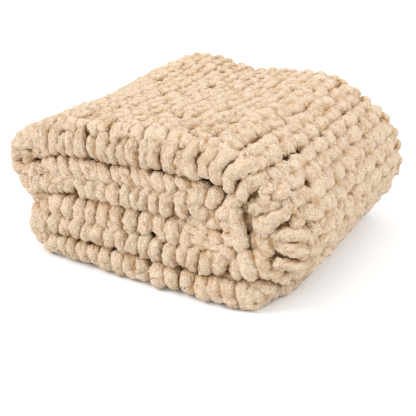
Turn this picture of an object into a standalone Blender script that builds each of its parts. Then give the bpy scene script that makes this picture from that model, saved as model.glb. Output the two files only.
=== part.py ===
"""Chunky knit blanket, folded.

One knitted panel, doubled over so that the fold runs along the front (-Y)
face, then laid back and forth in four passes along X.  The end of the top
pass runs on over the right-hand (+X) side as a flap and stops on the bottom
pass.  The doubled cloth is one closed body: a hairpin-shaped section (two
layers joined by a U-turn at the front) carried along the zig-zag.

Metres, +Z up, origin at the bottom centre of the bounding box.
"""

from math import cos, exp, pi, sin

import bmesh
import bpy
from mathutils import Vector

# ---------------------------------------------------------------- sizes (m)

FRONT_Y = -0.2190      # front of the doubled edge
BACK_Y = 0.1975        # back, where the two side edges of the panel lie
LAYER_GAP = 0.0020     # between the two layers of one pass

# One row for each pass of the doubled cloth, from the bottom up.
# name, bottom, top, outer end on the left, outer end on the right
PASSES = (
    ("bottom", 0.0000, 0.0370, -0.2455, 0.1840),
    ("second", 0.0390, 0.1090, -0.2455, 0.1610),
    ("third", 0.1110, 0.1675, -0.2610, 0.1610),
    ("top", 0.1695, 0.2280, -0.2610, 0.0970),
)

# The flap: the middle of the doubled cloth after the top pass.
# name, x, z
FLAP = (
    ("crest", 0.1420, 0.1850),
    ("shoulder", 0.1860, 0.1530),
    ("side", 0.2060, 0.1180),
    ("belly", 0.2080, 0.0850),
    ("hem", 0.1920, 0.0540),
)

# Soft hills and hollows of the top, fading to nothing at the floor.
# name, x, y, reach along x, reach along y, lift
SWELLS = (
    ("back left hill", -0.132, 0.165, 0.100, 0.090, 0.0095),
    ("left edge hollow", -0.231, -0.033, 0.055, 0.077, -0.0095),
    ("front hill", 0.022, -0.132, 0.110, 0.110, 0.0075),
    ("left front hill", -0.200, -0.150, 0.070, 0.060, 0.0030),
    ("middle hollow", -0.030, 0.045, 0.120, 0.080, -0.0035),
    ("right back hill", 0.150, 0.120, 0.080, 0.090, 0.0025),
)

SKEW = -0.050            # lean of the plan: x shift for each metre of y
TILT_X = 0.125           # relative rise of the stack for each metre of x
TILT_Y = -0.050          # relative rise of the stack for each metre of y
DROOP = 0.0230           # how far the overhanging left end sags
CORNER_FRONT = 0.0240    # how far the near right corner draws back in y
CORNER_SIDE = 0.0290     # how far the near right corner draws in in x

STEPS_PASS = 8           # stations along a straight pass
STEPS_TURN = 10          # stations round a turn
STEPS_FLAP = 3           # stations between two rows of the flap table
STEPS_DEPTH = 4          # steps from the back to the fold along y
STEPS_FOLD = 8           # steps round the fold at the front

COLOUR = (0.78, 0.62, 0.45, 1.0)


def clamp(v, low=0.0, high=1.0):
    return max(low, min(high, v))


def ease(t):
    t = clamp(t)
    return t * t * (3.0 - 2.0 * t)


# ------------------------------------------------------------ the zig-zag
# A station is (x, z, normal x, normal z, half thickness of the doubled cloth).

def pass_stations(row, x_from, x_to, normal_z):
    _, bottom, top, _, _ = row
    middle, half = (bottom + top) / 2, (top - bottom) / 2
    for i in range(STEPS_PASS + 1):
        yield (x_from + (x_to - x_from) * i / STEPS_PASS, middle, 0.0, normal_z, half)


def turn_stations(lower, upper, x_centre, side):
    """Half a turn from a pass up to the next; side is +1 right, -1 left."""
    z_centre = (lower[2] + upper[1]) / 2
    half_low, half_up = (lower[2] - lower[1]) / 2, (upper[2] - upper[1]) / 2
    clear = (upper[1] - lower[2]) / 2
    for i in range(1, STEPS_TURN):
        t = i / STEPS_TURN
        half = half_low + (half_up - half_low) * ease(t)
        a = -pi / 2 + side * pi * t
        reach = half + clear
        yield (x_centre + reach * cos(a), z_centre + reach * sin(a),
               -side * cos(a), -side * sin(a), half)


def flap_stations(top):
    middle, half = (top[1] + top[2]) / 2, (top[2] - top[1]) / 2
    points = [Vector((top[4] - 0.030, middle)), Vector((top[4], middle))]
    points += [Vector((x, z)) for _, x, z in FLAP]
    points.append(points[-1] * 2 - points[-2])
    line = []
    for i in range(1, len(points) - 2):
        a, b, c, d = points[i - 1:i + 3]
        for k in range(STEPS_FLAP):
            t = k / STEPS_FLAP
            line.append(0.5 * (2 * b + (c - a) * t + (2 * a - 5 * b + 4 * c - d) * t * t
                               + (3 * b - a - 3 * c + d) * t * t * t))
    line.append(points[-2])
    for i in range(1, len(line)):
        ahead = line[min(i + 1, len(line) - 1)] - line[i - 1]
        ahead.normalize()
        yield (line[i].x, line[i].y, -ahead.y, ahead.x, half)


def zigzag():
    first, second, third, top = PASSES
    half = [(p[2] - p[1]) / 2 for p in PASSES]
    left_low = first[3] + 2 * half[1] + 0.001
    right = second[4] - 2 * half[1] - 0.001
    left_up = third[3] + 2 * half[2] + 0.001
    stations = list(pass_stations(first, first[4], left_low, -1.0))
    stations += turn_stations(first, second, left_low, -1)
    stations += pass_stations(second, left_low, right, 1.0)
    stations += turn_stations(second, third, right, 1)
    stations += pass_stations(third, right, left_up, -1.0)
    stations += turn_stations(third, top, left_up, -1)
    stations += pass_stations(top, left_up, top[4], 1.0)
    stations += flap_stations(top)
    return stations


# ---------------------------------------------------------- the hairpin

def hairpin(half):
    """The closed outline of the doubled cloth, as (offset along the normal, y)."""
    inside = LAYER_GAP / 2
    centre = FRONT_Y + half
    outer, inner = [], []
    for k in range(STEPS_DEPTH):
        y = BACK_Y + (centre - BACK_Y) * k / STEPS_DEPTH
        outer.append((half, y))
        inner.append((inside, y))
    for k in range(STEPS_FOLD + 1):
        a = pi / 2 + pi * k / STEPS_FOLD
        outer.append((half * sin(a), centre + half * cos(a)))
        inner.append((inside * sin(a), centre + inside * cos(a)))
    for k in range(1, STEPS_DEPTH + 1):
        y = centre + (BACK_Y - centre) * k / STEPS_DEPTH
        outer.append((-half, y))
        inner.append((-inside, y))
    return outer, inner


# -------------------------------------------------------------- settling

def settle(p):
    """Carry a point of the neat stack to where the soft cloth has settled."""
    x, y, z = p
    rise = z / PASSES[-1][2]
    lean = ease((-0.143 - x) / 0.088)
    lift = z * (TILT_X * x + TILT_Y * y)
    lift -= DROOP * lean * clamp((z - 0.044) / 0.066)
    for _, sx, sy, rx, ry, h in SWELLS:
        lift += rise * h * exp(-((x - sx) / rx) ** 2 - ((y - sy) / ry) ** 2)
    near = clamp((x - 0.077) / 0.154)
    back = CORNER_FRONT * near * near * clamp(-y / 0.22)
    side = clamp((-y - 0.11) / 0.11)
    inward = CORNER_SIDE * side * side * clamp((x - 0.088) / 0.11)
    return Vector((x + SKEW * y - inward, y + back, z + lift))


# ------------------------------------------------------------- the solid

def blanket_mesh():
    bm = bmesh.new()
    rings = []
    for x, z, nx, nz, half in zigzag():
        outer, inner = hairpin(half)
        rings.append([bm.verts.new(settle((x + nx * a, y, z + nz * a)))
                      for a, y in outer + inner[::-1]])
    count = len(rings[0])
    for ring, after in zip(rings, rings[1:]):
        for j in range(count):
            k = (j + 1) % count
            bm.faces.new((ring[j], after[j], after[k], ring[k]))
    for ring in (rings[0], rings[-1]):
        for j in range(count // 2 - 1):
            bm.faces.new((ring[j], ring[j + 1], ring[count - 2 - j], ring[count - 1 - j]))
    bmesh.ops.triangulate(bm, faces=bm.faces[:])
    bmesh.ops.recalc_face_normals(bm, faces=bm.faces[:])

    low = Vector([min(v.co[i] for v in bm.verts) for i in range(3)])
    high = Vector([max(v.co[i] for v in bm.verts) for i in range(3)])
    shift = Vector((-(low.x + high.x) / 2, -(low.y + high.y) / 2, -low.z))
    bmesh.ops.translate(bm, verts=bm.verts[:], vec=shift)

    mesh = bpy.data.meshes.new("blanket")
    bm.to_mesh(mesh)
    bm.free()
    mesh.shade_smooth()
    mesh.set_sharp_from_angle(angle=1.0)
    return mesh


def plush(name, colour):
    material = bpy.data.materials.new(name)
    material.use_nodes = True
    shader = material.node_tree.nodes["Principled BSDF"]
    shader.inputs["Base Color"].default_value = colour
    shader.inputs["Roughness"].default_value = 0.95
    shader.inputs["Metallic"].default_value = 0.0
    return material


def main():
    for ob in list(bpy.data.objects):
        bpy.data.objects.remove(ob, do_unlink=True)
    mesh = blanket_mesh()
    mesh.materials.append(plush("plush_yarn", COLOUR))
    blanket = bpy.data.objects.new("blanket", mesh)
    bpy.context.scene.collection.objects.link(blanket)


main()
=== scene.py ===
"""Chunky knit blanket, doubled and folded: the looks.

The cloth is laid out in its own sizes: u runs along the panel through the four
passes and down the flap, v runs across it round the doubled edge at the front,
and w is the height above the cloth's outer face.  A thin base sheet carries the
folds, and the plush yarn lies on it as real strands.
"""

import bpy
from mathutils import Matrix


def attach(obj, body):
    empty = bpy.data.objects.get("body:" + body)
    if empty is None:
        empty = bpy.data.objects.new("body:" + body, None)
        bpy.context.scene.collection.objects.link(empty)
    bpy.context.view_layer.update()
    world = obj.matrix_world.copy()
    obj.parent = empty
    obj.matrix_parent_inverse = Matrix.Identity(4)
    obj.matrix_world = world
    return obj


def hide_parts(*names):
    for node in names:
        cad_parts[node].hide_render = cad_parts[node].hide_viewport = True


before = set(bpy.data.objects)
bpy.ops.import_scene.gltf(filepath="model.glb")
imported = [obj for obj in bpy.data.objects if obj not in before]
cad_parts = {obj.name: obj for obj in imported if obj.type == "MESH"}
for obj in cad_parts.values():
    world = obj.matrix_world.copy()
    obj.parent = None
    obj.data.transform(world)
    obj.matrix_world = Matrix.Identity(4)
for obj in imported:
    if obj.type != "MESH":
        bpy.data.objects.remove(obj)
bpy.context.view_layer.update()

from math import pi

import bpy
import numpy as np
from mathutils import Vector

# ---------------------------------------------------------------- the folds
# The same sizes as the solid's, in metres.

FRONT_Y = -0.2190
BACK_Y = 0.1975
PASSES = (
    ("bottom", 0.0000, 0.0370, -0.2455, 0.1840),
    ("second", 0.0390, 0.1090, -0.2455, 0.1610),
    ("third", 0.1110, 0.1675, -0.2610, 0.1610),
    ("top", 0.1695, 0.2280, -0.2610, 0.0970),
)
FLAP = ((0.1420, 0.1850), (0.1860, 0.1530), (0.2060, 0.1180),
        (0.2080, 0.0850), (0.1920, 0.0540))
SWELLS = (
    (-0.132, 0.165, 0.100, 0.090, 0.0095),
    (-0.231, -0.033, 0.055, 0.077, -0.0095),
    (0.022, -0.132, 0.110, 0.110, 0.0075),
    (-0.200, -0.150, 0.070, 0.060, 0.0030),
    (-0.030, 0.045, 0.120, 0.080, -0.0035),
    (0.150, 0.120, 0.080, 0.090, 0.0025),
)
# Small humps and hollows of the cloth itself: u, v, their reach, and the rise.
HUMPS = (
    (1.150, 0.030, 0.085, 0.170, -0.0068),
    (1.185, 0.115, 0.035, 0.050, -0.0045),
    (1.178, 0.290, 0.040, 0.070, -0.0012),
    (1.280, 0.410, 0.048, 0.070, 0.0060),
    (1.370, 0.420, 0.030, 0.060, -0.0040),
    (1.480, 0.410, 0.050, 0.070, 0.0040),
    (1.635, 0.400, 0.060, 0.110, 0.0045),
    (0.405, 0.000, 0.040, 0.110, -0.0055),
    (1.565, 0.405, 0.030, 0.050, -0.0030),
    (1.430, -0.040, 0.150, 0.020, -0.0065),
    (0.310, 0.019, 0.050, 0.016, -0.0045),
)
SKEW, TILT_X, TILT_Y = -0.050, 0.125, -0.050
DROOP, CORNER_FRONT, CORNER_SIDE = 0.0230, 0.0240, 0.0290
SHIFT = np.array((0.014329, 0.010750, 0.0))
FULLNESS = 3.6           # 2 is a round doubled edge, more is a fuller one
STEPS_PASS, STEPS_TURN, STEPS_FLAP = 24, 48, 14


def ease(t):
    t = np.clip(t, 0.0, 1.0)
    return t * t * (3.0 - 2.0 * t)


def smooth(t, low, high):
    return ease((np.asarray(t, float) - low) / (high - low))


def zigzag():
    """Stations along the folded cloth: x, z, normal x, normal z, half thickness."""
    rows = []

    def straight(p, x0, x1, nz):
        for i in range(STEPS_PASS + 1):
            rows.append((x0 + (x1 - x0) * i / STEPS_PASS, (p[1] + p[2]) / 2, 0.0, nz,
                         (p[2] - p[1]) / 2))

    def turn(low, up, xc, side):
        zc = (low[2] + up[1]) / 2
        h0, h1 = (low[2] - low[1]) / 2, (up[2] - up[1]) / 2
        clear = (up[1] - low[2]) / 2
        for i in range(1, STEPS_TURN):
            t = i / STEPS_TURN
            h = h0 + (h1 - h0) * float(ease(t))
            a = -pi / 2 + side * pi * t
            rows.append((xc + (h + clear) * np.cos(a), zc + (h + clear) * np.sin(a),
                         -side * np.cos(a), -side * np.sin(a), h))

    one, two, three, four = PASSES
    half = [(p[2] - p[1]) / 2 for p in PASSES]
    left_low = one[3] + 2 * half[1] + 0.001
    right = two[4] - 2 * half[1] - 0.001
    left_up = three[3] + 2 * half[2] + 0.001
    straight(one, one[4], left_low, -1.0)
    turn(one, two, left_low, -1)
    straight(two, left_low, right, 1.0)
    turn(two, three, right, 1)
    straight(three, right, left_up, -1.0)
    turn(three, four, left_up, -1)
    straight(four, left_up, four[4], 1.0)

    middle = (four[1] + four[2]) / 2
    pts = [np.array(p) for p in [(four[4] - 0.030, middle), (four[4], middle)] + list(FLAP)]
    pts.append(pts[-1] * 2 - pts[-2])
    line = []
    for i in range(1, len(pts) - 2):
        a, b, c, d = pts[i - 1:i + 3]
        for k in range(STEPS_FLAP):
            t = k / STEPS_FLAP
            line.append(0.5 * (2 * b + (c - a) * t + (2 * a - 5 * b + 4 * c - d) * t * t
                               + (3 * b - a - 3 * c + d) * t ** 3))
    line.append(pts[-2])
    for i in range(1, len(line)):
        ahead = line[min(i + 1, len(line) - 1)] - line[i - 1]
        ahead = ahead / np.linalg.norm(ahead)
        rows.append((line[i][0], line[i][1], -ahead[1], ahead[0], half[3]))
    return np.array(rows)


LINE = zigzag()
LINE_U = np.concatenate([[0.0], np.cumsum(np.hypot(*np.diff(LINE[:, :2], axis=0).T))])
LENGTH = float(LINE_U[-1])


def station(u):
    x, z, nx, nz, h = [np.interp(u, LINE_U, LINE[:, i]) for i in range(5)]
    size = np.hypot(nx, nz)
    return x, z, nx / size, nz / size, h


def settle(p):
    x, y, z = p[..., 0], p[..., 1], p[..., 2]
    rise = z / PASSES[-1][2]
    lean = ease((-0.143 - x) / 0.088)
    lift = z * (TILT_X * x + TILT_Y * y)
    lift = lift - DROOP * lean * np.clip((z - 0.044) / 0.066, 0, 1)
    for sx, sy, rx, ry, h in SWELLS:
        lift = lift + rise * h * np.exp(-((x - sx) / rx) ** 2 - ((y - sy) / ry) ** 2)
    near = np.clip((x - 0.077) / 0.154, 0, 1)
    back = CORNER_FRONT * near * near * np.clip(-y / 0.22, 0, 1)
    side = np.clip((-y - 0.11) / 0.11, 0, 1)
    inward = CORNER_SIDE * side * side * np.clip((x - 0.088) / 0.11, 0, 1)
    return np.stack([x + SKEW * y - inward, y + back, z + lift], -1)


def place(u, v, w):
    """A point of the cloth: u along the panel, v round the doubled edge (0 at the
    front), w above the outer face."""
    u, v, w = np.broadcast_arrays(np.asarray(u, float), np.asarray(v, float), np.asarray(w, float))
    x, z, nx, nz, h = station(u)
    a = np.clip(v / h, -pi / 2, pi / 2)
    full = (np.abs(np.sin(a)) ** FULLNESS + np.abs(np.cos(a)) ** FULLNESS) ** (-1 / FULLNESS)
    r = h * full + w
    for su, sv, ru, rv, rise in HUMPS:
        r = r + rise * np.exp(-((u - su) / ru) ** 2 - ((v - sv) / rv) ** 2)
    n = r * np.sin(a)
    y = FRONT_Y + h - r * np.cos(a) + np.maximum(np.abs(v) - h * pi / 2, 0.0)
    return settle(np.stack([x + nx * n, y, z + nz * n], -1)) + SHIFT


def half_at(u):
    return station(u)[4]


def v_back(u):
    """The v of the panel's side edge, at the back of the stack."""
    h = half_at(u)
    return BACK_Y - FRONT_Y - h + h * pi / 2


# Lengths measured on the outer face of each side, so that strands keep their
# spacing round the turns.
FINE_U = np.linspace(0.0, LENGTH, 3400)


def face_length(side):
    x, z, nx, nz, h = station(FINE_U)
    p = np.stack([x + side * nx * (h - 0.009), z + side * nz * (h - 0.009)], -1)
    return np.concatenate([[0.0], np.cumsum(np.linalg.norm(np.diff(p, axis=0), axis=1))])


FACE = {1: face_length(1), -1: face_length(-1)}


# ------------------------------------------------------------------- noise

def lattice(i, j, k, seed):
    n = (i * 73856093) ^ (j * 19349663) ^ (k * 83492791) ^ (seed * 2654435761)
    n = (n ^ (n >> 13)) * 1274126177
    n = n ^ (n >> 16)
    return (n & 0xFFFF) / 32767.5 - 1.0


def noise(p, scale, seed=0):
    """Smooth noise from -1 to 1 with features about scale metres across."""
    q = np.asarray(p, float) / scale + 100.0
    i = np.floor(q).astype(np.int64)
    f = q - i
    f = f * f * (3 - 2 * f)
    out = 0.0
    for a in (0, 1):
        for b in (0, 1):
            for c in (0, 1):
                weight = ((f[..., 0] if a else 1 - f[..., 0]) * (f[..., 1] if b else 1 - f[..., 1])
                          * (f[..., 2] if c else 1 - f[..., 2]))
                out = out + weight * lattice(i[..., 0] + a, i[..., 1] + b, i[..., 2] + c, seed)
    return out


def unit(a):
    return a / np.maximum(np.linalg.norm(a, axis=-1, keepdims=True), 1e-12)


# -------------------------------------------------------------------- yarn

KNOB = 0.0058            # size of the knobs of the plush pile
FLOOR = 0.0030           # height over which yarn is flattened by what it lies on
GAP_SHADE_DEPTHS = (0.0075, 0.0140)  # depths between which the pile in the gaps gets painted shade, turning dark


class Yarn:
    """Strands gathered into one mesh."""

    def __init__(self, name):
        self.name, self.points, self.faces, self.normals = name, [], [], []
        self.knobs, self.tones, self.middles, self.radii, self.gap_shades = [], [], [], [], []
        self.count = 0

    def strand(self, u, v, w, r, sides=14, ref="w", wide=1.0, tone=0.5, rough=1.0, tall=1.0, shade=0.0,
               pit=0.0, roll=0.0):
        u, v, w, r = np.broadcast_arrays(*[np.asarray(a, float) for a in (u, v, w, r)])
        centre = place(u, v, w)
        if ref == "w":
            out = unit(place(u, v, w + 0.002) - place(u, v, w - 0.002))
        else:
            out = unit(place(u, v + 0.002 * np.sign(v), w) - place(u, v - 0.002 * np.sign(v), w))
        a = np.linspace(0, 2 * pi, sides, endpoint=False)
        # Painted shade: pile lying deep in the gaps, and more widely round the holes by pit, is coloured dark.
        level = w[:, None] + (r * tall)[:, None] * np.sin(a)
        deep = shade * smooth(-level, GAP_SHADE_DEPTHS[0] - 0.0062 * pit, GAP_SHADE_DEPTHS[1] - 0.0095 * pit)
        self.tube(centre, out, r, sides, wide, tone, rough, tall, deep, roll)

    def tube(self, centre, out, r, sides=14, wide=1.0, tone=0.5, rough=1.0, tall=1.0, deep=0.0, roll=0.0):
        along = unit(np.gradient(centre, axis=0))
        across = unit(np.cross(along, out))
        out = np.cross(across, along)
        across, out = (across * np.cos(roll) + out * np.sin(roll), out * np.cos(roll) - across * np.sin(roll))
        a = np.linspace(0, 2 * pi, sides, endpoint=False)
        spoke = (np.cos(a)[None, :, None] * across[:, None] * wide
                 + np.sin(a)[None, :, None] * out[:, None] * tall)
        skin = centre[:, None] + r[:, None, None] * spoke
        knob = (0.60 * (2.6 * np.abs(noise(skin, KNOB, 3)) - 0.75)
                + 0.40 * (2.6 * np.abs(noise(skin, KNOB * 0.52, 7)) - 0.75)
                + 0.55 * noise(skin, KNOB * 2.1, 9))
        rough = np.broadcast_to(rough, (len(centre),))[:, None]
        skin = skin + spoke * (KNOBBLE * rough * knob * np.minimum(1.0, r[:, None] / 0.006))[..., None]
        low = skin[..., 2] < FLOOR
        skin[..., 2] = np.where(low, FLOOR * np.exp((np.minimum(skin[..., 2], FLOOR) - FLOOR) / FLOOR),
                                skin[..., 2])
        n = len(centre)
        base = self.count
        self.points.append(np.concatenate([skin.reshape(-1, 3), [skin[0].mean(0)], [skin[-1].mean(0)]]))
        self.normals.append(np.concatenate([unit(spoke).reshape(-1, 3), [-along[0]], [along[-1]]]))
        self.knobs.append(np.concatenate([knob.reshape(-1), [0.0, 0.0]]))
        self.tones.append(np.full(n * sides + 2, tone))
        self.gap_shades.append(np.concatenate([np.broadcast_to(deep, (n, sides)).reshape(-1), [0.0, 0.0]]))
        self.middles.append(centre)
        self.radii.append(r * (0.5 + 0.5 * wide))
        i = np.arange(n - 1)[:, None] * sides
        j = np.arange(sides)[None]
        k = (j + 1) % sides
        quads = np.stack([i + j, i + k, i + sides + k, i + sides + j], -1).reshape(-1, 4) + base
        self.faces.append(quads)
        jj, kk = j[0], k[0]
        top = base + n * sides
        self.faces.append(np.stack([kk + base, jj + base, np.full(sides, top), np.full(sides, -1)], -1))
        end = base + (n - 1) * sides
        self.faces.append(np.stack([jj + end, kk + end, np.full(sides, top + 1), np.full(sides, -1)], -1))
        self.count += n * sides + 2

    def build(self, material, crowd):
        co = np.concatenate(self.points)
        faces = np.concatenate(self.faces)
        sizes = np.where(faces[:, 3] < 0, 3, 4)
        loops = faces[faces >= 0]
        mesh = bpy.data.meshes.new(self.name)
        mesh.vertices.add(len(co))
        mesh.vertices.foreach_set("co", co.astype(np.float32).ravel())
        mesh.loops.add(len(loops))
        mesh.loops.foreach_set("vertex_index", loops.astype(np.int32))
        mesh.polygons.add(len(faces))
        starts = np.concatenate([[0], np.cumsum(sizes)[:-1]])
        mesh.polygons.foreach_set("loop_start", starts.astype(np.int32))
        mesh.update(calc_edges=True)
        mesh.validate()
        mesh.shade_smooth()
        # Painted shade: darker and warmer where the yarn is packed into creases or lies deep in a gap.
        closed = np.maximum(crowd(co + 0.005 * np.concatenate(self.normals)), np.concatenate(self.gap_shades))
        for name, data in (("painted_crease_shade", closed), ("knob", np.concatenate(self.knobs)),
                           ("tone", np.concatenate(self.tones))):
            layer = mesh.attributes.new(name, "FLOAT", "POINT")
            layer.data.foreach_set("value", data.astype(np.float32))
        mesh.materials.append(material)
        ob = bpy.data.objects.new(self.name, mesh)
        bpy.context.scene.collection.objects.link(ob)
        print("yarn", self.name, "triangles", int((sizes - 2).sum()),
              "closed in", np.round(np.percentile(closed, (5, 25, 50, 75, 95)), 2).tolist())
        return ob


CELL = 0.0035


def crowding(yarns):
    """How much yarn stands round a place, from 0 to 1: it sets the painted shade,
    darker and warmer in the deep creases where the pile is packed."""
    middles = np.concatenate([m for y in yarns for m in y.middles])
    radii = np.concatenate([r for y in yarns for r in y.radii])
    low = middles.min(0) - 0.035
    size = np.ceil((middles.max(0) + 0.035 - low) / CELL).astype(int)
    grid = np.zeros(size, np.float32)
    reach = np.arange(-5, 6)
    around = np.stack(np.meshgrid(reach, reach, reach, indexing="ij"), -1).reshape(-1, 3)
    home = np.floor((middles - low) / CELL).astype(int)
    for k in range(0, len(middles), 1500):
        cell = home[k:k + 1500, None] + around[None]
        gap = low + (cell + 0.5) * CELL - middles[k:k + 1500, None]
        cell = cell[(gap ** 2).sum(-1) < radii[k:k + 1500, None] ** 2]
        grid[cell[:, 0], cell[:, 1], cell[:, 2]] = 1.0
    taps = np.exp(-0.5 * (np.arange(-4, 5) / 1.7) ** 2)
    taps = taps / taps.sum()
    for axis in range(3):
        grid = sum(t * np.roll(grid, o, axis) for t, o in zip(taps, range(-4, 5)))

    def crowd(p):
        q = (p - low) / CELL - 0.5
        i = np.clip(np.floor(q).astype(int), 0, size - 2)
        f = np.clip(q - i, 0.0, 1.0)
        out = 0.0
        for a in (0, 1):
            for b in (0, 1):
                for c in (0, 1):
                    weight = ((f[:, 0] if a else 1 - f[:, 0]) * (f[:, 1] if b else 1 - f[:, 1])
                              * (f[:, 2] if c else 1 - f[:, 2]))
                    out = out + weight * grid[i[:, 0] + a, i[:, 1] + b, i[:, 2] + c]
        return out

    return crowd


def spline(points, at):
    """Points at the shares 0 to 1 of a smooth line through the given ones."""
    p = [np.array(q, float) for q in points]
    p = [2 * p[0] - p[1]] + p + [2 * p[-1] - p[-2]]
    out = []
    for t in np.clip(np.asarray(at, float), 0, 1 - 1e-9) * (len(p) - 3):
        i = int(t)
        f = t - i
        a, b, c, d = p[i:i + 4]
        out.append(0.5 * (2 * b + (c - a) * f + (2 * a - 5 * b + 4 * c - d) * f * f
                          + (3 * b - a - 3 * c + d) * f ** 3))
    return np.array(out)


def round_ends(t, blunt=0.30):
    """Radius factor of a bead for t from -1 to 1: full in the middle, closed at the ends."""
    x = np.clip((np.abs(t) - (1 - blunt)) / blunt, 0, 1)
    return np.sqrt(np.maximum(1 - x * x, 0.0004))


RNG = np.random.default_rng(20)
KNOBBLE = 0.0020

# The stitches of the front, each a short fat strand lying across the row: its line
# in u and v, and its radius, in millimetres.  Rows from the top layer down.
LIP = (
    ((1225, 22), (1228, -32), 9.5), ((1252, 20), (1238, -46), 10), ((1265, 4), (1257, -44), 8),
    ((1278, 14), (1275, -42), 9), ((1294, 17), (1293, -42), 10.2), ((1314, 8), (1320, -40), 10),
    ((1336, 14), (1335, -42), 10.8), ((1356, 10), (1349, -40), 8.6), ((1370, 12), (1367, -42), 9.2),
    ((1391, 16), (1383, -5), (1388, -42), 10.4), ((1405, 16), (1403, -42), 9),
    ((1426, 17), (1417, -2), (1419, -44), 10.6), ((1439, 18), (1436, -40), 8.4),
    ((1453, 19), (1445, -1), (1447, -40), 10.6), ((1462, 6), (1463, -36), 8.6),
    ((1486, 23), (1472, 3), (1474, -16), (1482, -30), 12.0),
    ((1514, 24), (1501, 6), (1496, -10), (1504, -28), 11.4),
    ((1536, 30), (1525, 12), (1520, -6), (1528, -26), 11.6),
    ((1560, 32), (1552, 14), (1546, -4), (1554, -26), 11.4),
)
FLAP_FRONT = (
    ((1582, 30), (1576, 16), (1571, -2), (1578, -26), 10.8), ((1590, 27), (1603, 18), 9.0),
    ((1613, 24), (1603, -4), (1602, -26), 11.5), ((1627, 29), (1629, 0), (1638, -34), 12.5),
    ((1604, 46), (1607, 26), 9.5), ((1656, 44), (1653, 26), (1650, 8), 9.6),
    ((1670, 44), (1667, 28), (1664, 10), 9.4), ((1649, 7), (1656, 1), (1664, 7), 8.6),
    ((1688, 46), (1682, 26), (1686, 6), 9.0), ((1640, -12), (1650, -40), 10),
)
LEFT_TURN = (
    ((1155, 33), (1180, -27), 8.6), ((1150, 10), (1130, -25), 7.5), ((1142, 16), (1111, -12), 9.2),
    ((1131, 25), (1113, 0), 8.7), ((1125, 28), (1100, 10), 8.7), ((1166, 34), (1203, -17), 8.6),
    ((1181, 24), (1203, -5), 8.5), ((1190, 29), (1213, 1), 8.5), ((1200, 32), (1219, 0), 8.4),
    ((1214, 30), (1216, -20), 8.8),
)
THIRD_UPPER = (
    ((1124, -33), (1107, -14), 8.5), ((1110, -39), (1090, -13), 8.5), ((1097, -42), (1074, -13), 9),
    ((1082, -43), (1057, -5), 9.8), ((1062, -42), (1035, 2), 8.6), ((1042, -42), (1013, -2), 9.2),
    ((1020, -42), (998, -6), 9), ((1004, -42), (983, -4), 9), ((990, -43), (965, -6), 9.2),
    ((968, -43), (944, -8), 9), ((955, -43), (928, -9), 9), ((934, -43), (911, -10), 8.8),
    ((918, -43), (897, -12), 10.4), ((897, -43), (879, -13), 9), ((883, -44), (860, -14), 10),
    ((863, -44), (841, -20), 10), ((840, -44), (820, -22), 9),
)
THIRD_LOWER = (
    ((1102, -12), (1103, 11), 9), ((1074, -10), (1094, 13), 8.5), ((1057, -5), (1089, 20), 9),
    ((1042, -3), (1080, 31), 9.8), ((1051, 12), (1061, 30), 7.5), ((1030, 0), (1047, 30), 9),
    ((1017, 0), (1018, 16), 9.6), ((1015, 15), (1016, 33), 9.6), ((999, -1), (1001, 31), 9.4),
    ((979, -5), (981, 31), 10), ((958, -6), (964, 32), 10.6), ((936, -8), (941, 32), 9.2),
    ((918, -9), (925, 31), 9.2), ((901, -12), (916, 33), 9), ((887, -14), (897, 35), 8.5),
    ((866, -15), (876, 33), 10.6), ((847, -19), (848, 23), 9.6), ((828, -24), (827, 21), 11.6),
)
SECOND_UPPER = (
    ((430, 45), (421, 29), 10.5), ((440, 43), (437, 8), 9.8), ((464, 38), (459, -4), 10),
    ((485, 38), (478, -3), 10.5), ((504, 38), (503, -1), 10.2), ((523, 38), (523, 0), 9.6),
    ((548, 38), (547, 5), 12.4), ((567, 40), (568, -1), 11.6), ((592, 39), (592, 5), 11.6),
    ((622, 40), (616, 7), 10.8), ((641, 40), (648, 3), 11.4), ((663, 42), (665, 4), 9.5),
)
SECOND_LOWER = (
    ((430, 19), (416, 8), 10), ((437, 7), (408, -10), 12.4), ((459, -3), (443, -38), 10.8),
    ((478, -5), (467, -38), 11.4), ((501, -2), (486, -39), 9.2), ((521, 0), (506, -39), 9.8),
    ((541, 5), (527, -38), 10.4), ((561, 1), (547, -39), 10.4), ((577, 1), (576, -39), 10),
    ((601, 4), (591, -40), 9.4), ((620, 1), (614, -38), 9), ((637, 1), (629, -40), 9.4),
    ((662, 1), (655, -40), 10.6), ((682, 2), (678, -40), 9.8), ((700, 2), (690, -42), 9.4),
    ((724, 1), (709, -40), 9.8), ((740, -14), (722, -42), 11),
)
FIRST = (
    ((416, 5), (389, 21), 11.5), ((405, -15), (374, 11), 12), ((361, -25), (354, 13), 11.8),
    ((341, -25), (334, 13), 9.4), ((325, -26), (317, 13), 9.4), ((305, -27), (297, 15), 11.3),
    ((287, -29), (278, 17), 9.8), ((263, -26), (260, 19), 11.2), ((239, -28), (235, 19), 10.6),
    ((220, -31), (214, 19), 10.4), ((201, -31), (193, 19), 11), ((168, -29), (168, 19), 13.2),
    ((149, -30), (145, 19), 10.2), ((120, -29), (118, 19), 13), ((97, -31), (93, 19), 10.8),
    ((73, -31), (66, 20), 11.2), ((50, -31), (39, 18), 10.6), ((28, -31), (15, 13), 11),
)

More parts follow.
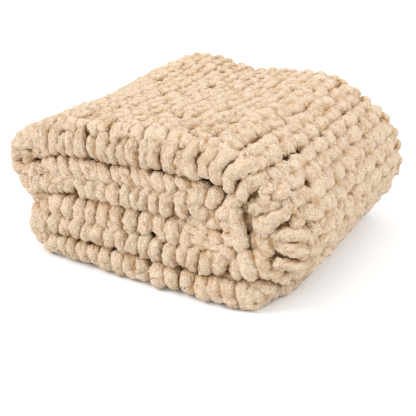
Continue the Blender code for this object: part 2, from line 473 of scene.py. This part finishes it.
# The crumpled stitches of the near right corner, between the inner turn and the
# flap: middle lines as x, z on an upright plane, then its y, and the yarn's radius.
CORNER = (
    (((0.123, 0.165), (0.121, 0.142), (0.128, 0.122), (0.135, 0.106)), -0.1880, 0.0090),
    (((0.131, 0.145), (0.137, 0.129), (0.139, 0.111)), -0.1830, 0.0068),
    (((0.159, 0.163), (0.148, 0.151), (0.140, 0.136)), -0.1880, 0.0112),
    (((0.152, 0.148), (0.157, 0.125), (0.163, 0.106), (0.167, 0.089)), -0.1920, 0.0118),
    (((0.164, 0.146), (0.171, 0.127), (0.166, 0.103)), -0.1720, 0.0088),
    (((0.180, 0.142), (0.183, 0.128), (0.182, 0.114)), -0.1780, 0.0090),
    (((0.183, 0.116), (0.181, 0.102), (0.183, 0.090)), -0.1800, 0.0090),
    (((0.189, 0.114), (0.197, 0.102), (0.203, 0.090)), -0.1850, 0.0105),
    (((0.161, 0.076), (0.158, 0.061), (0.160, 0.047)), -0.1880, 0.0112),
    (((0.172, 0.087), (0.178, 0.071), (0.184, 0.055)), -0.1920, 0.0138),
    (((0.187, 0.092), (0.196, 0.077), (0.196, 0.058)), -0.1870, 0.0118),
    (((0.202, 0.066), (0.214, 0.074), (0.227, 0.085)), -0.1680, 0.0100),
    (((0.166, 0.027), (0.180, 0.026), (0.193, 0.026)), -0.1840, 0.0120),
    (((0.184, 0.040), (0.196, 0.036), (0.205, 0.040)), -0.1780, 0.0110),
    (((0.082, 0.117), (0.106, 0.115), (0.127, 0.104)), -0.1915, 0.0104),
    (((0.080, 0.104), (0.103, 0.101), (0.122, 0.094)), -0.1925, 0.0098),
    (((0.078, 0.093), (0.107, 0.089), (0.132, 0.087), (0.153, 0.088)), -0.1935, 0.0100),
    (((0.075, 0.112), (0.072, 0.098), (0.080, 0.086)), -0.1915, 0.0092),
    (((0.112, 0.040), (0.138, 0.040), (0.166, 0.042)), -0.1820, 0.0100),
    (((0.170, 0.040), (0.180, 0.036), (0.188, 0.044)), -0.1800, 0.0100),
    (((-0.196, 0.097), (-0.174, 0.093), (-0.150, 0.090)), -0.1860, 0.0105),
    (((-0.192, 0.082), (-0.172, 0.079), (-0.152, 0.078)), -0.1840, 0.0100),
    (((-0.207, 0.089), (-0.200, 0.081), (-0.188, 0.077)), -0.1760, 0.0095),
    (((-0.230, 0.147), (-0.213, 0.152), (-0.194, 0.156)), -0.1770, 0.0095),
    (((-0.198, 0.157), (-0.178, 0.160), (-0.158, 0.161)), -0.1880, 0.0090),
    (((0.133, 0.052), (0.148, 0.054), (0.161, 0.050)), -0.1800, 0.0085),
    (((0.177, 0.186), (0.184, 0.178), (0.189, 0.168)), -0.1760, 0.0090),
    (((0.166, 0.173), (0.174, 0.168), (0.181, 0.160)), -0.1700, 0.0105),
    (((0.157, 0.162), (0.161, 0.151), (0.165, 0.140)), -0.1740, 0.0100),
)


def stitch(yarn, line, r, sides=26, rings=22, blunt=0.62, dip=(0.0038, 0.0038), lift=0.0, over=0.0018, rough=1.35,
           bow=0.0012, tone=None, more=(0.0, 0.0), puff=0.0045, curl=0.0, wide=1.13, roll=0.30):
    """One plump stitch on the cloth's face, its two ends dipping in beside its neighbours.
    more is how far each end goes on out of sight, into the closed fold."""
    t = np.sin(np.linspace(-pi / 2, pi / 2, rings))
    flat = spline(line, (t + 1) / 2)
    heading = unit(flat[-1] - flat[0])
    reach = np.where(t < 0, over + more[0], over + more[1])
    flat = flat + (t * reach)[:, None] * heading
    flat[:, 0] += (0.45 - t * t) * (curl + bow * RNG.normal())
    turn = np.abs(flat[:, 1]) / station(flat[:, 0])[4]
    w = -r + lift - np.where(t < 0, dip[0], dip[1]) * np.abs(t) ** 3 + puff * np.exp(-((turn - 1.15) / 0.40) ** 2)
    full = round_ends(t, blunt) * (1.0 + 0.13 * t * RNG.normal())
    yarn.strand(flat[:, 0], flat[:, 1], w, r * full, sides=sides, rough=rough, wide=wide, roll=roll,
                tone=0.5 + 0.20 * RNG.normal() if tone is None else tone)


def traced(yarn, rows, lift=0.0008, **kw):
    for *line, r in rows:
        line = [np.array(q) / 1000.0 for q in line]
        stitch(yarn, line, 0.96 * r / 1000.0, lift=lift + 0.0009 * RNG.normal(), **kw)


def filler(yarn, u0, u1, va, vb, spacing=0.0215, r=0.0105, lean=0.0, lift=-0.0012):
    """A plain row of stitches where the folds close over them."""
    u = np.linspace(u0, u1, 240)
    p = place(u, np.full(240, (va + vb) / 2), -0.010)
    s = np.concatenate([[0.0], np.cumsum(np.linalg.norm(np.diff(p, axis=0), axis=1))])
    count = max(int(round(s[-1] / spacing)), 1)
    for at in (np.arange(count) + 0.5) * s[-1] / count:
        uu = float(np.interp(at + 0.0012 * RNG.normal(), s, u))
        a, b = va + 0.0015 * RNG.normal(), vb + 0.0015 * RNG.normal()
        stitch(yarn, [np.array((uu - lean * (b - a) / 2, a)), np.array((uu + lean * (b - a) / 2, b))],
               r, sides=14, rings=13, lift=lift)


def corner_lumps(yarn):
    t = np.sin(np.linspace(-pi / 2, pi / 2, 26))
    for line, y, r in CORNER:
        flat = spline(line, (t + 1) / 2)
        heading = unit(flat[-1] - flat[0])
        flat = flat + np.outer(t, heading) * 0.0015
        centre = np.stack([flat[:, 0], y + 0.006 * np.abs(t) ** 3, flat[:, 1]], -1)
        out = np.tile((0.15, -1.0, 0.1), (26, 1))
        yarn.tube(centre, out, r * round_ends(t, 0.40), 26, 1.0, 0.5 + 0.2 * RNG.normal())


ROPE = 0.0186        # spacing of the strands across the panel
WAVE = 0.0440        # one stitch along a strand


# Where neighbouring strands stand furthest apart and leave a hole, in u and v.
HOLES = ((1.274, 0.357), (1.294, 0.367), (1.255, 0.341), (1.275, 0.289), (1.363, 0.284),
         (1.337, 0.220), (1.326, 0.189), (1.323, 0.160), (1.422, 0.299), (1.490, 0.328),
         (1.450, 0.258), (1.303, 0.114), (1.504, 0.162), (1.522, 0.177), (1.455, 0.155),
         (1.394, 0.032), (1.437, 0.032), (1.491, 0.054), (1.556, 0.201), (1.573, 0.218),
         (1.515, 0.336), (1.456, 0.321), (1.279, 0.037), (1.284, 0.073), (1.341, 0.032),
         (1.397, 0.162), (1.489, 0.117), (1.442, 0.101), (1.417, 0.086), (1.573, 0.129),
         (1.570, 0.091), (1.615, 0.040), (1.609, 0.088), (1.527, 0.084), (1.640, 0.205),
         (1.310, 0.032), (1.449, 0.062))


LEFT_LOW = (0.352, 0.462)
RIGHT_TURN = (0.690, 0.806)
LEFT_UP = (1.062, 1.172)
END = LENGTH - 0.012
PITCH = (END - LEFT_UP[1]) / round((END - LEFT_UP[1]) / ROPE)
# Each hole lies in the groove nearest to it.
GAPS = [(LEFT_UP[1] + PITCH * round((hu - LEFT_UP[1]) / PITCH), hv) for hu, hv in HOLES]


def rope(yarn, side, u, v0, v1, parity, r=0.0101, swing=0.0030, sides=16, step=0.0028,
         wander=0.0014, tone=0.5, lift=0.0, neck=0.12, wide=1.10, front_neck=0.06, tuck0=0.003, tuck1=0.006, wild=1.0,
         tall=1.0, shade=0.0, rough=1.0):
    """One strand of stitches lying along v on one side of the panel."""
    n = max(int(abs(v1 - v0) / step), 8)
    v = np.linspace(v0, v1, n)
    line = np.stack([v, np.full(n, u * 0.5), np.full(n, 1.7)], -1)
    own = np.stack([v, np.full(n, RNG.uniform(0, 50)), np.full(n, 1.7)], -1)
    phase = 2 * pi * (v / WAVE) + 1.1 * wild * noise(line, 0.085, 11) + 0.25 * wild * noise(own, 0.06, 17)
    sway = np.sin(phase) * parity * (1 + 0.40 * wild * noise(own, 0.033, 15))
    uu = u + swing * sway + wander * wild * noise(own, 0.05, 12)
    if side > 0:
        for hu, hv in GAPS:
            uu = uu + (0.0083 * np.sign(u - hu) * np.exp(-((v - hv) / 0.0095) ** 2)
                       * np.exp(-((u - hu) / 0.016) ** 2))
    w = -r * tall + lift + 0.50 * swing * sway + 0.0018 * wild * noise(own, 0.030, 13)
    size = r * (1 + (neck + front_neck * np.exp(-(v / 0.07) ** 2)) * np.cos(2 * phase + 0.3) + 0.09 * wild * noise(own, 0.022, 14))
    end0 = np.clip((v - v0) / 0.014, 0, 1)
    end1 = np.clip((v1 - v) / 0.012, 0, 1)
    w = w - tuck0 * (1 - end0) ** 2 - tuck1 * (1 - end1) ** 2
    size = size * np.sqrt(np.clip(1 - (1 - end0) ** 4, 0.01, 1)) * np.sqrt(np.clip(1 - (1 - end1) ** 4, 0.01, 1))
    # pit: nearness to a hole, which widens the painted shade there.
    pit = np.zeros((n, sides))
    if shade > 0:
        brim = uu[:, None] + (size * wide)[:, None] * np.cos(np.linspace(0, 2 * pi, sides, endpoint=False))
        for hu, hv in GAPS:
            pit = np.maximum(pit, np.exp(-((v[:, None] - hv) / 0.0105) ** 2 - ((brim - hu) / 0.0120) ** 2))
    yarn.strand(uu, side * v, w, size, sides=sides, tone=tone, wide=wide, tall=tall, shade=shade, pit=pit,
                rough=rough * (1.0 + 0.6 * np.exp(-(v / 0.06) ** 2)))


def ropes(yarn, side, u0, u1, first, last, spacing=ROPE, by_face=False, thick=0.520, swing=0.0034,
          part=slice(None), pair=0.0, **kw):
    """Strands side by side from u0 to u1, evenly along the panel or on its face,
    drawn together two by two where pair is set."""
    s0, s1 = np.interp([u0, u1], FINE_U, FACE[side]) if by_face else (u0, u1)
    count = max(int(round((s1 - s0) / spacing)), 1)
    for i in range(count)[part]:
        s = s0 + (i + 0.5) * (s1 - s0) / count
        u = float(np.interp(s, FACE[side], FINE_U)) if by_face else s
        pitch = (float(np.diff(np.interp([u - 0.006, u + 0.006], FINE_U, FACE[side]))[0]) / 0.012
                 * (spacing if not by_face else 0.0))
        pitch = (s1 - s0) / count if by_face else pitch
        r = min(max(thick * pitch, 0.0090), 0.0150)
        stretch = 1.0 if not by_face else (s1 - s0) / count / max(pitch, 1e-6)
        jit = RNG.normal(0, 1, 4)
        u = u + (pair if i % 2 else -pair)
        rope(yarn, side, u + 0.0008 * jit[1], first(u) + 0.0015 * jit[0], last(u), 1 if i % 2 else -1,
             r=r, swing=swing * stretch, tone=0.5 + 0.14 * jit[2], **kw)


def edge_beads(yarn, side, u0, u1, spacing=0.0215):
    """Side edge of the panel at the back: plump stitches turned over the edge."""
    s0, s1 = np.interp([u0, u1], FINE_U, FACE[side])
    count = int((s1 - s0) / spacing)
    for i in range(count):
        s = s0 + (i + 0.5) * (s1 - s0) / count
        u = float(np.interp(s, FACE[side], FINE_U))
        h, vb = float(half_at(u)), float(v_back(u))
        jit = RNG.normal(0, 1, 6)
        t = np.linspace(-1, 1, 15)
        r = min(0.0108, h * 0.46) + 0.0004 * jit[0]
        w = -h / 2 + t * (h / 2 - 0.0035)
        v = vb - r + 0.0010 - 0.006 * np.abs(t) ** 2.5 + 0.0012 * jit[1]
        uu = u + 0.0035 * t * (1 if i % 2 else -1) + 0.0012 * jit[2]
        yarn.strand(uu, side * v, w, r * round_ends(t, 0.4), sides=16, ref="v", tone=0.5 + 0.25 * jit[3])


def hem(yarn, u, r, spread):
    """End edge of the panel: a lumpy cord that goes round the doubled edge."""
    h, vb = float(half_at(u)), float(v_back(u))
    for side in (1, -1):
        v = np.linspace(0.0, vb - 0.004, 150)
        line = np.stack([v, np.full(150, 3.0 + side), np.full(150, u)], -1)
        phase = 2 * pi * v / 0.030
        w = -h / 2 * (0.92 + spread) + 0.0012 * np.sin(phase)
        uu = u + 0.0018 * np.cos(phase) + 0.001 * noise(line, 0.04, 21)
        size = r * (1 + 0.09 * np.sin(2 * phase) + 0.05 * noise(line, 0.02, 22))
        yarn.strand(uu, side * v, w, size, sides=13, tone=0.5)


def base_sheet(material):
    """The cloth itself as one thin sheet: the middle of its thickness, doubled at
    the front, with the soft troughs between the stitch rows pressed into it."""
    nu, nv = 430, 150
    us = np.linspace(0.002, LENGTH - 0.002, nu)
    vs = np.linspace(-1, 1, nv)
    u, t = np.meshgrid(us, vs, indexing="ij")
    h, vb = half_at(u), v_back(u)
    v = t * (vb - 0.010)
    line = np.stack([u, v, np.zeros_like(u)], -1)
    dent = (0.0016 * np.sin(2 * pi * u / ROPE) + 0.0012 * np.sin(2 * pi * v / WAVE)
            + 0.0016 * noise(line, 0.045, 31))
    w = -0.60 * h + dent
    co = place(u, v, w)
    mesh = bpy.data.meshes.new("blanket_sheet")
    i, j = np.meshgrid(np.arange(nu - 1), np.arange(nv - 1), indexing="ij")
    a = (i * nv + j).ravel()
    faces = np.stack([a, a + nv, a + nv + 1, a + 1], -1)
    mesh.from_pydata(co.reshape(-1, 3).tolist(), [], faces.tolist())
    mesh.shade_smooth()
    # The sheet takes the full painted crease shade, so it shows dark through the holes.
    for name, value in (("painted_crease_shade", 1.0), ("knob", 0.0), ("tone", 0.4)):
        layer = mesh.attributes.new(name, "FLOAT", "POINT")
        layer.data.foreach_set("value", np.full(nu * nv, value, np.float32))
    mesh.materials.append(material)
    ob = bpy.data.objects.new("blanket_sheet", mesh)
    bpy.context.scene.collection.objects.link(ob)
    return ob


# ---------------------------------------------------------------- material

# Steps at which the painted crease shade turns warm tan, then deep brown.
CREASE_SHADE_STEPS = (0.25, 0.61, 0.88)

def plush():
    m = bpy.data.materials.new("plush_yarn_look")
    m.use_nodes = True
    t = m.node_tree
    n, link = t.nodes, t.links.new
    s = n["Principled BSDF"]
    s.inputs["Roughness"].default_value = 0.92
    s.inputs["Specular IOR Level"].default_value = 0.15
    s.inputs["Sheen Weight"].default_value = 0.15
    s.inputs["Sheen Roughness"].default_value = 0.55
    s.inputs["Sheen Tint"].default_value = (1.0, 0.93, 0.84, 1.0)
    pos = n.new("ShaderNodeTexCoord").outputs["Object"]

    def tex(scale, detail=2.0, rough=0.5):
        x = n.new("ShaderNodeTexNoise")
        x.inputs["Scale"].default_value = scale
        x.inputs["Detail"].default_value = detail
        x.inputs["Roughness"].default_value = rough
        link(pos, x.inputs["Vector"])
        return x.outputs["Fac"]

    def cells(scale, smooth_by):
        x = n.new("ShaderNodeTexVoronoi")
        x.feature = "SMOOTH_F1"
        x.inputs["Scale"].default_value = scale
        x.inputs["Smoothness"].default_value = smooth_by
        link(pos, x.inputs["Vector"])
        return x.outputs["Distance"]

    def math(op, a, b):
        x = n.new("ShaderNodeMath")
        x.operation = op
        for i, v in enumerate((a, b)):
            if isinstance(v, (int, float)):
                x.inputs[i].default_value = v
            else:
                link(v, x.inputs[i])
        return x.outputs[0]

    def mix(fac, a, b):
        x = n.new("ShaderNodeMix")
        x.data_type = "RGBA"
        for name, v in (("Factor", fac), ("A", a), ("B", b)):
            socket = [q for q in x.inputs if q.name == name and q.enabled][0]
            if isinstance(v, (int, float)):
                socket.default_value = v
            elif isinstance(v, tuple):
                socket.default_value = v + (1.0,)
            else:
                link(v, socket)
        return [q for q in x.outputs if q.enabled][0]

    def attribute(name):
        x = n.new("ShaderNodeAttribute")
        x.attribute_name = name
        return x.outputs["Fac"]

    def ramp(v, low, high):
        x = n.new("ShaderNodeMapRange")
        x.inputs["From Min"].default_value = low
        x.inputs["From Max"].default_value = high
        link(v, x.inputs["Value"])
        return x.outputs["Result"]

    fine = tex(360.0, 4.0, 0.65)
    broad = tex(14.0, 2.0)
    patch = tex(75.0, 3.0, 0.55)
    knob, closed = attribute("knob"), attribute("painted_crease_shade")
    colour = mix(ramp(broad, 0.35, 0.65), (0.680, 0.525, 0.372), (0.722, 0.572, 0.426))
    colour = mix(math("MULTIPLY", ramp(patch, 0.35, 0.70), 0.40), colour, (0.750, 0.630, 0.495))
    colour = mix(math("MULTIPLY", ramp(attribute("tone"), 0.1, 0.9), 0.16), colour, (0.765, 0.645, 0.510))
    # Dark flecks where the fine grain's bump dips: partly the pile's own speckle, partly painted shade in the dips.
    colour = mix(math("MULTIPLY", ramp(fine, 0.56, 0.38), 0.46), colour, (0.480, 0.290, 0.125))
    # Painted shade in the hollows of the knobs.
    colour = mix(math("MULTIPLY", ramp(knob, 0.00, -0.55), 0.46), colour, (0.450, 0.270, 0.115))
    # Painted crease shade: warm tan, then deep brown in the deepest creases and gaps.
    colour = mix(math("MULTIPLY", ramp(closed, CREASE_SHADE_STEPS[0], CREASE_SHADE_STEPS[1]), 0.74), colour, (0.470, 0.265, 0.098))
    colour = mix(math("MULTIPLY", ramp(closed, CREASE_SHADE_STEPS[1], CREASE_SHADE_STEPS[2]), 0.88), colour, (0.295, 0.152, 0.048))
    link(colour, s.inputs["Base Color"])
    clump = cells(330.0, 0.75)
    height = math("ADD", math("MULTIPLY", clump, -1.0), math("MULTIPLY", fine, 1.2))
    height = math("ADD", height, math("MULTIPLY", patch, 0.9))
    bump = n.new("ShaderNodeBump")
    bump.inputs["Strength"].default_value = 1.0
    bump.inputs["Distance"].default_value = 0.0031
    link(height, bump.inputs["Height"])
    link(bump.outputs["Normal"], s.inputs["Normal"])
    return m


# ------------------------------------------------------------------- build

PLUSH = plush()
sheet = base_sheet(PLUSH)

yarns = []


def new(name):
    y = Yarn(name)
    yarns.append(y)
    return y


START_U = (1.17, 1.23, 1.30, 1.36, 1.40, 1.45, 1.487, 1.529, 1.556, 1.589, 1.627, 1.649, 1.681, 1.712)
START_V = (0.028, 0.022, 0.018, 0.013, 0.018, 0.021, 0.026, 0.030, 0.030, 0.031, 0.034, 0.038, 0.040, 0.040)


def back_end(u):
    return float(v_back(u)) - 0.011


def behind_lip(u):
    return float(np.interp(u, START_U, START_V)) - 0.008


lip = new("yarn_lip")
traced(lip, LIP, more=(0.005, 0.009), dip=(0.0030, 0.0020), curl=-0.0050, puff=0.0058, wide=1.05, roll=0.26)
traced(lip, FLAP_FRONT, lift=0.0004, more=(0.003, 0.003), dip=(0.0030, 0.0030), rough=1.5, wide=1.04, roll=0.20)
traced(lip, LEFT_TURN)
filler(lip, 1.185, 1.700, -0.078, -0.045)
filler(lip, 1.130, 1.215, -0.044, -0.012, lift=-0.004)
filler(lip, 1.590, 1.704, -0.044, 0.006, lift=-0.007)
filler(lip, 1.455, 1.580, -0.054, -0.034, lift=-0.005)
third = new("yarn_third")
traced(third, THIRD_UPPER, more=(0.010, 0.0010), dip=(0.003, 0.0035), curl=0.0050, puff=0.0035)
traced(third, THIRD_LOWER, more=(0.0010, 0.009), dip=(0.0060, 0.0018), curl=0.0055)
filler(third, 0.800, 1.090, -0.078, -0.046)
filler(third, 0.800, 1.080, 0.028, 0.060)
filler(third, 1.060, 1.200, 0.012, 0.040, spacing=0.024, r=0.0118, lean=0.15)
second = new("yarn_second")
traced(second, SECOND_UPPER, more=(0.010, 0.0010), dip=(0.0015, 0.0030), curl=-0.0055)
traced(second, SECOND_LOWER, more=(0.0010, 0.010), dip=(0.0060, -0.0005), curl=-0.0055)
filler(second, 0.440, 0.700, 0.042, 0.075)
filler(second, 0.440, 0.700, -0.068, -0.038)
filler(second, 0.672, 0.832, 0.002, 0.036, lift=-0.004)
filler(second, 0.700, 0.832, -0.036, -0.002, lift=-0.003)
first = new("yarn_first")
traced(first, FIRST, more=(0.009, 0.006), dip=(0.0000, 0.0038), curl=0.0050, puff=0.0020)
filler(first, 0.012, 0.355, -0.062, -0.030, lift=0.0015)
filler(first, 0.012, 0.355, 0.018, 0.048)
filler(first, 0.360, 0.460, 0.012, 0.040, spacing=0.024, r=0.0118, lean=0.15)
filler(first, 0.380, 0.450, -0.040, -0.008, lift=-0.004)
corner = new("yarn_corner")
corner_lumps(corner)

top = new("yarn_top")
ropes(top, 1, LEFT_UP[1], END, behind_lip, back_end, sides=20, step=0.0025, swing=0.0050, neck=0.20,
      thick=0.520, wide=1.06, part=slice(0, 14), tall=0.90, shade=0.90, rough=1.25, lift=-0.0010)
flap = new("yarn_flap")
ropes(flap, 1, LEFT_UP[1], END, behind_lip, back_end, sides=20, step=0.0025, swing=0.0032, neck=0.03,
      front_neck=0.02, wide=1.18, part=slice(14, None), pair=0.0006, tall=0.92, shade=0.88, rough=1.30, lift=-0.0010)
left = new("yarn_left")
ropes(left, 1, LEFT_LOW[0], LEFT_LOW[1], lambda u: 0.036, back_end, spacing=0.024, by_face=True)
ropes(left, 1, LEFT_UP[0], LEFT_UP[1], lambda u: 0.036, back_end, spacing=0.024, by_face=True)
under = new("yarn_under")
ropes(under, 1, 0.016, LEFT_LOW[0], lambda u: 0.044, back_end, step=0.0036, sides=12, lift=-0.0006)
inner = new("yarn_inner")
ropes(inner, -1, RIGHT_TURN[0], RIGHT_TURN[1], lambda u: 0.036, back_end, spacing=0.022, by_face=True,
      step=0.004, sides=12)
ropes(inner, -1, 1.500, END, lambda u: 0.074, back_end, step=0.004, sides=12)

back = new("yarn_back")
for side in (1, -1):
    edge_beads(back, side, 0.012, LENGTH - 0.010)
hem(back, LENGTH - 0.0115, 0.0118, 0.0)
hem(back, 0.0105, 0.0086, 0.0)


def bottom_edge(yarn):
    """The first edge of the panel: a thick cord along the floor under the flap."""
    path = spline(((0.140, -0.2010, 0.0140), (0.163, -0.1910, 0.0135), (0.174, -0.171, 0.0130),
                   (0.1785, -0.130, 0.0125), (0.180, -0.080, 0.0125), (0.181, 0.000, 0.0122),
                   (0.182, 0.080, 0.0122), (0.182, 0.186, 0.0122)), np.linspace(0, 1, 190))
    run = np.concatenate([[0.0], np.cumsum(np.linalg.norm(np.diff(path, axis=0), axis=1))])
    line = np.stack([run, np.full(190, 7.0), np.full(190, 2.0)], -1)
    path[:, 2] += 0.0010 * np.sin(2 * pi * run / 0.036)
    path[:, 0] += 0.0018 * np.cos(2 * pi * run / 0.036)
    size = 0.0118 * (1 + 0.15 * np.sin(2 * pi * run / 0.023) + 0.08 * noise(line, 0.02, 23))
    size *= np.sqrt(np.clip(1 - (1 - np.clip(run / 0.012, 0, 1)) ** 4, 0.01, 1))
    yarn.tube(settle(path) + SHIFT, np.tile((0.0, 0.0, 1.0), (190, 1)), size, 18)


bottom_edge(back)
# The top of the bottom pass, where the hollow under the flap leaves it open.
ropes(inner, -1, 0.018, 0.112, lambda u: 0.060, back_end, step=0.004, sides=12, lift=-0.0010)

crowd = crowding(yarns)
objects = [y.build(PLUSH, crowd) for y in yarns]
for ob in [sheet] + objects:
    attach(ob, "root")
    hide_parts("blanket")

# ------------------------------------------------------------------- stage

floor_mesh = bpy.data.meshes.new("floor")
floor_mesh.from_pydata([(-60, -60, 0), (60, -60, 0), (60, 60, 0), (-60, 60, 0)], [], [(0, 1, 2, 3)])
floor = bpy.data.objects.new("floor", floor_mesh)
floor.location.z = -0.0005
bpy.context.scene.collection.objects.link(floor)
pale = bpy.data.materials.new("floor_white")
pale.use_nodes = True
pale.node_tree.nodes["Principled BSDF"].inputs["Base Color"].default_value = (0.82, 0.82, 0.82, 1)
pale.node_tree.nodes["Principled BSDF"].inputs["Roughness"].default_value = 0.9
pale.node_tree.nodes["Principled BSDF"].inputs["Specular IOR Level"].default_value = 0.1
floor_mesh.materials.append(pale)

world = bpy.data.worlds.new("studio")
bpy.context.scene.world = world
world.use_nodes = True
world.node_tree.nodes["Background"].inputs[0].default_value = (1.0, 1.0, 1.0, 1)
world.node_tree.nodes["Background"].inputs[1].default_value = 1.0


def lamp(name, toward, power, spread, colour=(1.0, 0.99, 0.97)):
    """A very large soft light far away, shining from the given side."""
    data = bpy.data.lights.new(name, "SUN")
    data.energy, data.angle, data.color = power, spread, colour
    ob = bpy.data.objects.new(name, data)
    ob.location = [3 * c for c in toward]
    ob.rotation_euler = Vector(toward).to_track_quat("Z", "Y").to_euler()
    bpy.context.scene.collection.objects.link(ob)


lamp("key", (-1.4, -1.0, 1.5), 1.98, 0.5, (1.0, 0.99, 1.01))
lamp("fill", (1.3, 0.4, 1.3), 1.76, 0.9, (1.0, 0.99, 1.01))
lamp("front", (0.1, -1.6, 0.5), 0.80, 0.9)

camera_data = bpy.data.cameras.new("camera")
camera_data.lens, camera_data.sensor_width = 71.607, 36.0
camera_data.clip_start, camera_data.clip_end = 0.05, 30.0
camera = bpy.data.objects.new("camera", camera_data)
camera.location = (0.62921, -1.04651, 0.57772)
aim = Vector((-0.00760, 0.01075, 0.03330))
camera.rotation_euler = (aim - camera.location).to_track_quat("-Z", "Y").to_euler()
bpy.context.scene.collection.objects.link(camera)
bpy.context.scene.camera = camera
bpy.context.scene.view_settings.view_transform = "Standard"
